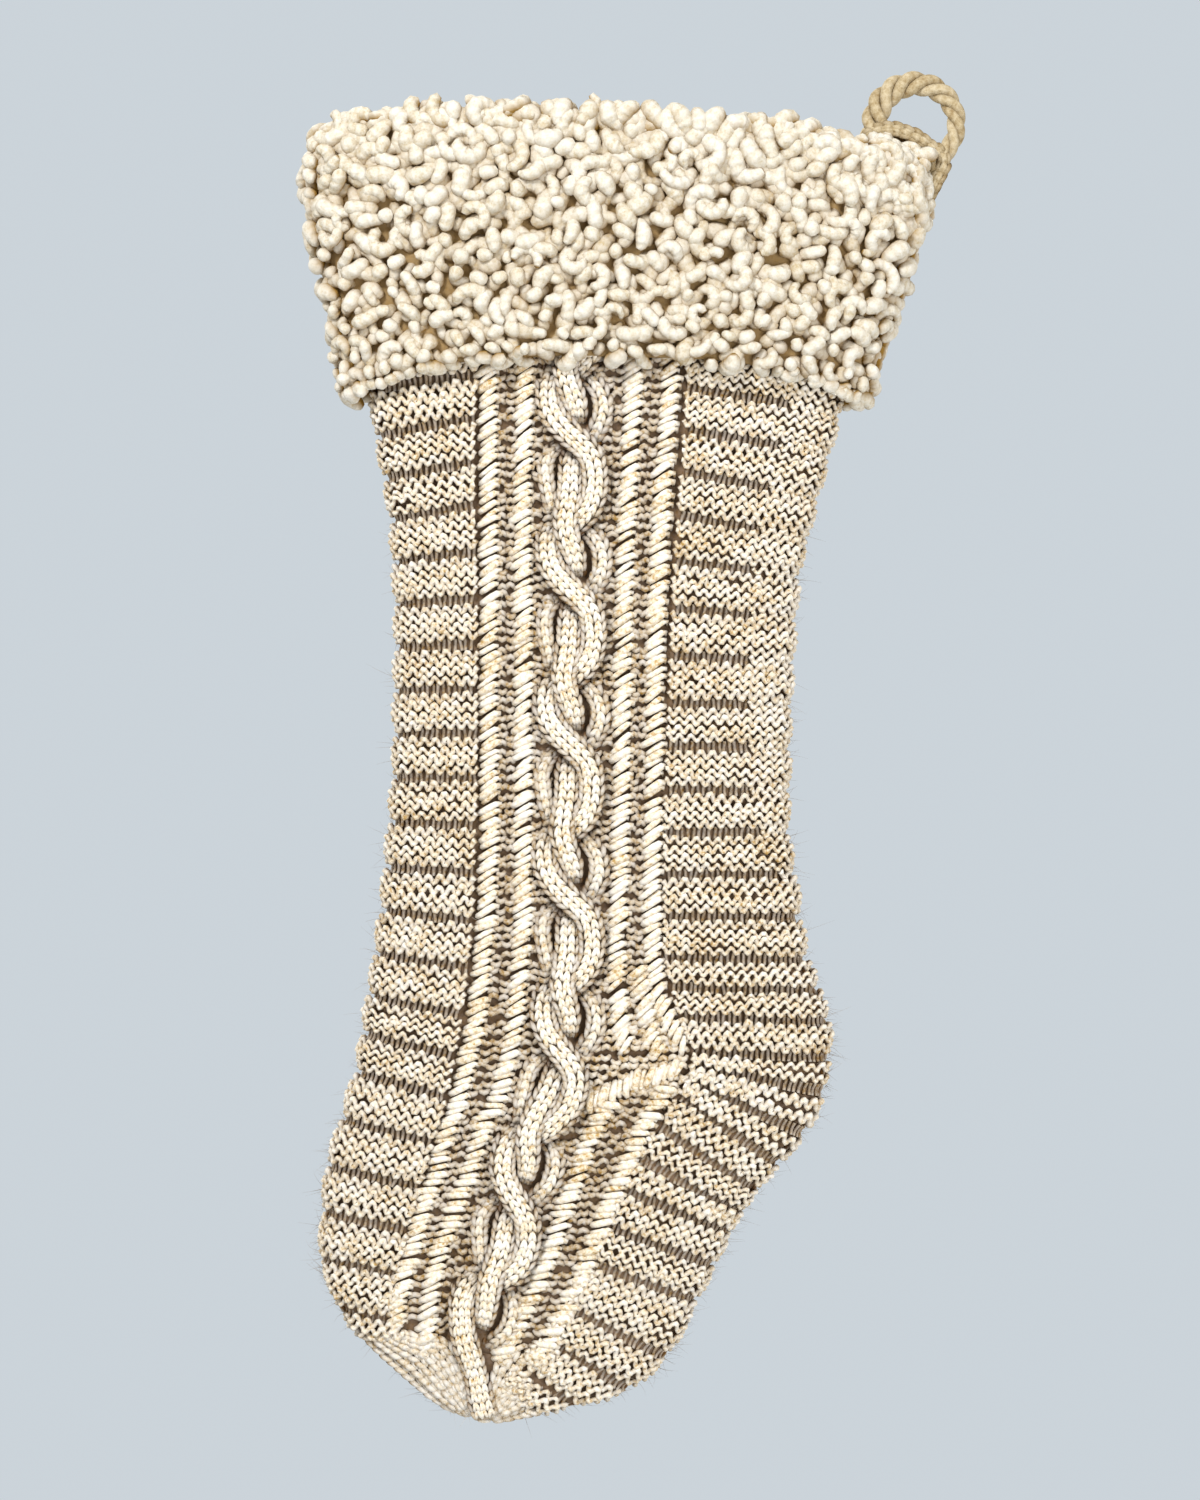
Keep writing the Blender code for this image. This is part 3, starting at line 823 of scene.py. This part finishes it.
def make_cuff(cream):
    rng = np.random.default_rng(7)
    front, back = Yarn("cuff_curls_front"), Yarn("cuff_curls_back")
    for spacing, low, high in ((7.0, -4.8, -3.4), (8.6, -2.6, -0.4)):
        s, u = cuff_sites(spacing, rng)
        centre, normal, round_it, up = cuff_frame(s, u, 0.0)
        lean = np.clip(1 - s / 0.45, 0, 1)[:, None]
        normal = unit(normal + np.array((0, 0, 1.0)) * lean)
        height = rng.uniform(low, high, len(s))
        grade = np.clip(1.05 - s / 5.0 + rng.normal(0, 0.15, len(s)), 0, 1)
        for yarn, chosen in ((front, u < 0.5), (back, u >= 0.5)):
            nubs(yarn, centre[chosen], normal[chosen], round_it[chosen], up[chosen],
                 height[chosen], grade[chosen], rng)
    rim = Yarn("cuff_curls_rim")
    for inset in (3.0, 7.5):
        edge_nubs(rim, 0.0, 68, inset, 0.25, 1.0, (-3.0, 1.0), (0.4, 1.0), rng)
    edge_nubs(rim, 4.97, 80, 3.6, 0.55, -1.0, (-1.6, 0.8), (0.0, 0.5), rng)
    corner_curls(rim, rng)
    outside = patch(CUFF, 0.05, 4.85, 0, 1, 5.0, 50, 120)
    inside = patch(CUFF, 4.85, 0.05, 0, 1, 9.5, 50, 120)
    seam = Yarn("cuff_seam_stitches")
    spine = on_tube(CUFF, np.linspace(0.1, 4.9, 200), 0.5, 1.5)
    # np.full(200, 0.3) is the painted shade of the seam stitches.
    chain(seam, spine, np.full(200, 3.4), np.array((1.0, 0, 0)), np.full(200, 0.3), rng,
          columns=(0,), pitch=5.0, leg=7.0, radius=1.5)
    # The cuff's ground shows only between the curls and is painted mostly in shade.
    ground = shell("cuff_ground", np.concatenate([inside[:1], outside[::-1], inside[::-1]]),
                   1.0, cream, 0.90)
    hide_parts("cuff")
    sewn = seam.build(cream)
    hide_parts("cuff_seam")
    made = [ground, sewn] + [yarn.build(cream) for yarn in (front, back, rim)]
    for piece in made:
        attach(piece, "stocking")
    return made


# ---- loop -----------------------------------------------------------------------------
def loop_centre_line():
    """The loop's middle line, from its sewn left end over the top to its right end."""
    turn = np.radians(np.linspace(190, -58, 70))
    ring = np.stack([LOOP_CENTRE[0] + LOOP_RADIUS * np.cos(turn), np.zeros(70),
                     LOOP_CENTRE[1] + LOOP_RADIUS * np.sin(turn)], axis=-1)
    left = np.array([(-17.6, 0, -24), (-17.2, 0, -19)])
    right = np.array([(8.0, 0, -30.5), (4.0, 0, -35)])
    return np.concatenate([left, ring, right])


def make_loop(tan):
    line = loop_centre_line()
    lengths = distances(line)
    at = np.linspace(0, lengths[-1], 110)
    spine = np.stack([np.interp(at, lengths, line[:, j]) for j in range(3)], axis=-1)
    deep = np.array((0, 1.0, 0))
    across = np.cross(unit(np.gradient(spine, axis=0)), deep)
    share = at / lengths[-1]
    wide = np.interp(share, (0, 0.35, 0.7, 1), (3.4, 3.0, 1.9, 1.9))
    yarn = Yarn("loop_cord")
    for ply in range(3):
        phase = 2 * np.pi * (at / 23.0 + ply / 3)
        outward = across * np.cos(phase)[:, None] + deep * np.sin(phase)[:, None]
        path = (spine + across * (wide * np.cos(phase))[:, None]
                + deep * (2.0 * np.sin(phase))[:, None])
        yarn.add(path, 0.95 * np.interp(share, (0, 0.35, 0.7, 1), (2.5, 2.5, 2.1, 2.1)),
                 sunk=0.0, shade=0.3 + 0.2 * ply, sides=12, up=outward[None])
    cord = yarn.build(tan)
    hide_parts("hanging_loop")
    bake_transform(cord)
    top, side = Yarn("loop_sewing_top"), Yarn("loop_sewing_side")
    edge = Route(((-19.5, -17.5), (-15, -14.6), (-9, -13.8), (-3, -15.4), (3, -18.4), (9, -23.6)))
    flank = Route(((8, -22), (11.5, -25), (11.5, -29), (8, -36), (4.5, -43)))
    for yarn, route, node in ((top, edge, "loop_stitch_top"), (side, flank, "loop_stitch_side")):
        xz = route.at(np.linspace(0.1, route.length - 0.1, 60))
        for y, out in ((-3.0, -1.0), (3.0, 1.0)):
            # np.full(60, 0.05) is a slight painted shade on the sewing stitches.
            chain(yarn, in_space(xz, y), np.full(60, 2.4), np.array((0, out, 0)),
                  np.full(60, 0.05), RANDOM, radius=1.15, pitch=4.0)
        sewn = yarn.build(tan)
        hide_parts(node)
        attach(sewn, "stocking")


# ---- camera, light, floor -------------------------------------------------------------
def make_camera():
    data = bpy.data.cameras.new("camera")
    data.lens = 85.0
    camera = placed("camera", data)
    camera.location = (-0.1272, -1.434, -0.2648)
    camera.rotation_euler = (math.radians(90), 0, 0)
    data.clip_end = 20.0
    bpy.context.scene.camera = camera


def area_light(name, location, target, size, power, colour=(1, 1, 1)):
    data = bpy.data.lights.new(name, "AREA")
    data.shape = "DISK"
    data.size = size
    data.energy = power
    data.color = colour
    lamp = placed(name, data)
    lamp.location = location
    lamp.rotation_euler = (Vector(target) - Vector(location)).to_track_quat("-Z", "Y").to_euler()


def make_studio():
    world = bpy.data.worlds.new("studio")
    bpy.context.scene.world = world
    world.use_nodes = True
    nodes, links = world.node_tree.nodes, world.node_tree.links
    seen = nodes["Background"]
    seen.inputs[0].default_value = (0.60, 0.655, 0.70, 1)
    light = nodes.new("ShaderNodeBackground")
    light.inputs[0].default_value = (0.64, 0.61, 0.56, 1)
    ray, mix = nodes.new("ShaderNodeLightPath"), nodes.new("ShaderNodeMixShader")
    links.new(ray.outputs["Is Camera Ray"], mix.inputs[0])
    links.new(light.outputs[0], mix.inputs[1])
    links.new(seen.outputs[0], mix.inputs[2])
    links.new(mix.outputs[0], nodes["World Output"].inputs[0])
    bpy.context.scene.view_settings.view_transform = "Standard"
    middle = (-0.12, 0.0, -0.28)
    area_light("key", (-0.75, -1.1, 0.80), middle, 0.4, 20.0, (1.0, 0.99, 0.97))
    area_light("fill", (0.7, -1.2, -0.5), (-0.1, 0, -0.40), 0.9, 11.0, (1.0, 0.985, 0.96))
    area_light("back", (-0.5, 1.3, 0.7), middle, 0.8, 16.0)
    bpy.ops.mesh.primitive_plane_add(size=1.3, location=(-0.13, 0.0, -0.86))
    floor = bpy.context.object
    floor.name = "floor"
    paint = bpy.data.materials.new("pale floor")
    paint.use_nodes = True
    coat = paint.node_tree.nodes["Principled BSDF"].inputs
    coat["Base Color"].default_value = (0.50, 0.53, 0.56, 1)
    coat["Roughness"].default_value = 0.8
    floor.data.materials.append(paint)


# ---- pieces ---------------------------------------------------------------------------
def depth_at(z):
    order = np.argsort(TUBE[:, 1])
    return float(np.interp(z, TUBE[order, 1], TUBE[order, 4]))


def make_ground(wool):
    # The ground shows only in the gaps between the stitches and is painted almost wholly in shade.
    front = shell("front_ground", patch(TUBE, 0, TOE_START, 0, 0.5, 0.6, 120, 40), 1.4, wool, 0.96)
    back = shell("back_ground", patch(TUBE, 0, TOE_START, 0.5, 1, 0.6, 120, 40), 1.4, wool, 0.96)
    toe = shell("toe_ground", patch(TUBE, TOE_START, 19, 0, 1, 0.6, 30, 80), 1.4, wool, 0.96)
    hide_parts("front_panel", "heel_cup")
    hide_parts("back_panel", "sole_panel")
    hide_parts("toe_cap")
    return [front, back, toe]


def make_seams(wool):
    """The two side seams, the yarn that joins the cuff, and the toe's closing stitch."""
    made = []
    for name, node, u, way in (("instep_seam_stitches", "instep_seam", 0.0, -1.0),
                               ("calf_seam_stitches", "calf_seam", 0.5, 1.0)):
        yarn = Yarn(name)
        spine = on_tube(TUBE, np.linspace(0.2, SEAM_END, 400), u, 0.4)
        out = np.array((way, 0, 0))
        # np.full(400, 0.45) is the painted shade of the seam stitches.
        chain(yarn, spine, np.full(400, 2.6), out, np.full(400, 0.45), RANDOM, columns=(0,),
              pitch=4.2, radius=1.1)
        piece = yarn.build(wool)
        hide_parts(node)
        made.append(piece)
    rim = Yarn("cuff_joining_stitches")
    turns = 96
    t = np.linspace(0, 1, turns * 6)
    ring = on_tube(TUBE, np.full(len(t), 0.1), t % 1, 0.6)
    inner = on_tube(TUBE, np.full(len(t), 0.1), t % 1, -3.0)
    swing = 0.5 + 0.5 * np.sin(2 * np.pi * turns * t)
    path = ring * swing[:, None] + inner * (1 - swing[:, None])
    path[:, 2] += 1.6 * np.cos(2 * np.pi * turns * t)
    # The joining yarn gets an even painted shade.
    rim.add(path, 0.7, sunk=0.3, shade=0.6)
    piece = rim.build(wool)
    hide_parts("cuff_joining_yarn")
    made.append(piece)
    knot = Yarn("toe_closing_knot")
    turn = np.linspace(0, 5 * np.pi, 60)
    away = np.stack([np.cos(turn), np.sin(turn), 0 * turn], axis=-1)
    height = -534.6 + 1.2 * np.sin(0.4 * turn)
    centre = np.stack([-174.2 + 0 * turn, 0 * turn, height], axis=-1)
    knot.add(away * 2.0 + centre, 1.2, shade=0.8, up=away[None])
    piece = knot.build(wool)
    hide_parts("toe_closing_stitch")
    made.append(piece)
    return made


def toe_lane(yarn, outer, inner, lanes, side):
    """Columns of knit stitches from the toe's silhouette to an inner line."""
    outer, inner = Route(outer), Route(inner)
    t = np.linspace(0.01, 0.99, 60)
    a, b = outer.at(t * outer.length), inner.at(t * inner.length)
    for lane in range(lanes):
        share = (lane + 0.5) / lanes
        xz = a * (1 - share) + b * share
        half = np.linalg.norm(a - b, axis=1) / lanes / 2 * 1.05
        spine = in_space(xz, side * (1.2 - FRONT.y(xz[:, 0], xz[:, 1])))
        # np.full(60, 0.12) is a slight painted shade on the toe stitches.
        chain(yarn, spine, half, np.array((0, float(side), 0)), np.full(60, 0.12), RANDOM,
              columns=(0,), radius=1.25)


def make_toe(wool):
    left = ((-224, -500), (-217, -507), (-206, -517), (-194, -527), (-181, -534))
    inner_left = ((-206, -499), (-197, -501), (-187, -503), (-181, -515), (-177, -533))
    right = ((-152, -532), (-160, -534), (-170, -535.5))
    inner_right = ((-160, -499), (-168, -510), (-174, -531))
    made = []
    for name, side in (("toe_stitches_front", -1), ("toe_stitches_back", 1)):
        yarn = Yarn(name)
        toe_lane(yarn, left, inner_left, 6, side)
        toe_lane(yarn, right, inner_right, 6, side)
        if side > 0:
            toe_lane(yarn, inner_left, inner_right, 4, side)
        made.append(yarn.build(wool))
    return made


def make_back(wool):
    """The unseen back: the same welts from both edges, meeting at one plain rib."""
    middle = Route(BACK_RIB)

    def to_middle(table, inner_z, shift):
        rows = []
        for number, xo, zo, _, _ in table:
            z = zo if inner_z is None else float(np.interp(number, *zip(*inner_z)))
            rows.append((number, xo, zo, float(middle.at_height(z)) + shift, z))
        return tuple(rows)

    left, right = Yarn("back_welts_left"), Yarn("back_welts_right")
    welt_panel(left, to_middle(WELTS_LEFT, None, -5.0), LEG_HALF_WIDTH, side=1, fine=5)
    welt_panel(right, to_middle(WELTS_RIGHT, BACK_CENTRE_Z, 5.0), LEG_HALF_WIDTH, side=1,
               fine=5)
    spine_yarn = Yarn("back_rib_stitches")
    at = np.linspace(1, middle.length - 1, 500)
    xz = middle.at(at)
    spine = in_space(xz, 1.4 - FRONT.y(xz[:, 0], xz[:, 1]))
    # np.full(500, 0.1) is a slight painted shade on the rib.
    chain(spine_yarn, spine, np.full(500, 5.6), -OUT, np.full(500, 0.1), RANDOM)
    return [yarn.build(wool) for yarn in (left, right, spine_yarn)]


def make_front_stitches(wool):
    left = Yarn("left_welt_stitches")
    rib_a, rib_b, cable = Route(RIB_A), Route(RIB_B), Route(CABLE)
    rib_c, rib_d = Route(RIB_C), Route(RIB_D)
    foot_c, foot_d, pick_up = Route(FOOT_RIB_C), Route(FOOT_RIB_D), Route(PICK_UP)
    welt_panel(left, WELTS_LEFT, LEG_HALF_WIDTH)
    right = Yarn("right_welt_stitches")

    def band(number):
        return float(np.interp(number, (-1, 0, 4, 9, 11, 12), (26, 24, 22, 19, 9, 0)))

    welt_panel(right, WELTS_RIGHT, LEG_HALF_WIDTH, band=band)
    ribs = Yarn("rib_stitches")
    for route in (rib_a, rib_b, rib_c, rib_d, foot_c, foot_d, Route(HEEL_RIB)):
        rib(ribs, route)
    rib(ribs, pick_up, width=4.2, pitch=5.0)
    gutters = Yarn("gutter_stitches")

    def beside(route, shift):
        return lambda z: route.at_height(z) + shift

    gutter(gutters, beside(rib_a, 3.5), beside(rib_b, -3.5), -98, -495)
    gutter(gutters, beside(rib_b, 3.5), beside(cable, -8.0), -98, -500)
    gutter(gutters, beside(cable, 8.0), beside(rib_c, -3.5), -98, -374)
    gutter(gutters, beside(rib_c, 3.5), beside(rib_d, -3.5), -98, -384)
    gutter(gutters, beside(cable, 8.0), beside(foot_c, -3.5), -400, -505)
    gutter(gutters, beside(foot_c, 3.5), beside(foot_d, -3.5), -398, -505)
    # The last strip stands higher and gets less painted shade.
    gutter(gutters, beside(cable, 8.0), lambda z: -92.0, -374, -404, out=1.0, sunk=0.25)
    over, under = Yarn("cable_over_stitches"), Yarn("cable_under_stitches")
    for yarn, shape, repeats, half, columns in (
            (over, STRAND_OVER, 7, (5.0, 4.6), 3), (under, STRAND_TONGUE, 7, (4.8, 2.8), 3),
            (under, STRAND_LEFT, 7, (3.0, 2.8), 2), (under, STRAND_RIGHT, 8, (3.8, 3.8), 2)):
        cable_strand(yarn, cable, shape, FIRST_TIP - CABLE_REPEAT, repeats, half, columns)
    cable_strand(over, cable, STRAND_LAST, FIRST_TIP + 6 * CABLE_REPEAT, 1, (5.0, 7.6), 4)
    return [kind.build(wool) for kind in (left, right, ribs, gutters, over, under)]


def make_fuzz(wool):
    """Loose hairs that stand off the wool."""
    rng = np.random.default_rng(3)
    yarn = Yarn("wool_fuzz")
    for count, u in ((900, rng.uniform(0, 1, 900)), (700, rng.choice([0.0, 0.5], 700)
                                                     + rng.normal(0, 0.01, 700))):
        s = rng.uniform(4.6, 18.8, count)
        start = on_tube(TUBE, s, u % 1, -2.2)
        middle = on_tube(TUBE, s, np.full(count, 0.25), 0)
        middle[:, 1] = 0
        away = start - middle
        away[:, 1] *= 4
        away = unit(away) + rng.normal(0, 0.5, (count, 3))
        curl = rng.normal(0, 1, (count, 3))
        t = np.linspace(0, 1, 6)[None, :, None]
        length = rng.uniform(2.0, 5.0, (count, 1, 1))
        path = start[:, None] + length * (away[:, None] * t + 0.5 * curl[:, None] * t * t)
        yarn.add(path, 0.07 * (1.2 - t[:, :, 0]), shade=0.8, sides=3)
    piece = yarn.build(wool)
    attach(piece, "stocking")


make_camera()
make_studio()
# In each wool material deep is the painted shade colour of sunken yarn and flank the strength of
# the painted shade on the inner side of each strand; light, middle and dark span the yarn's own
# tones.
WOOL = wool_material("oatmeal wool", light=(0.97, 0.95, 0.90), middle=(0.89, 0.80, 0.64),
                     dark=(0.52, 0.33, 0.10), deep=(0.10, 0.038, 0.002), flank=0.40)
CREAM = wool_material("cream boucle", light=(0.80, 0.785, 0.73), middle=(0.71, 0.67, 0.57),
                      dark=(0.57, 0.48, 0.32), deep=(0.30, 0.165, 0.02), flank=0.50,
                      falloff=1.1, bump=0.9)
TAN = wool_material("tan cord", light=(0.60, 0.52, 0.37), middle=(0.47, 0.385, 0.24),
                    dark=(0.31, 0.22, 0.11), deep=(0.16, 0.095, 0.03))
for piece in (make_ground(WOOL) + make_front_stitches(WOOL) + make_seams(WOOL) + make_toe(WOOL)
              + make_back(WOOL)):
    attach(piece, "stocking")
make_cuff(CREAM)
make_fuzz(WOOL)
make_loop(TAN)
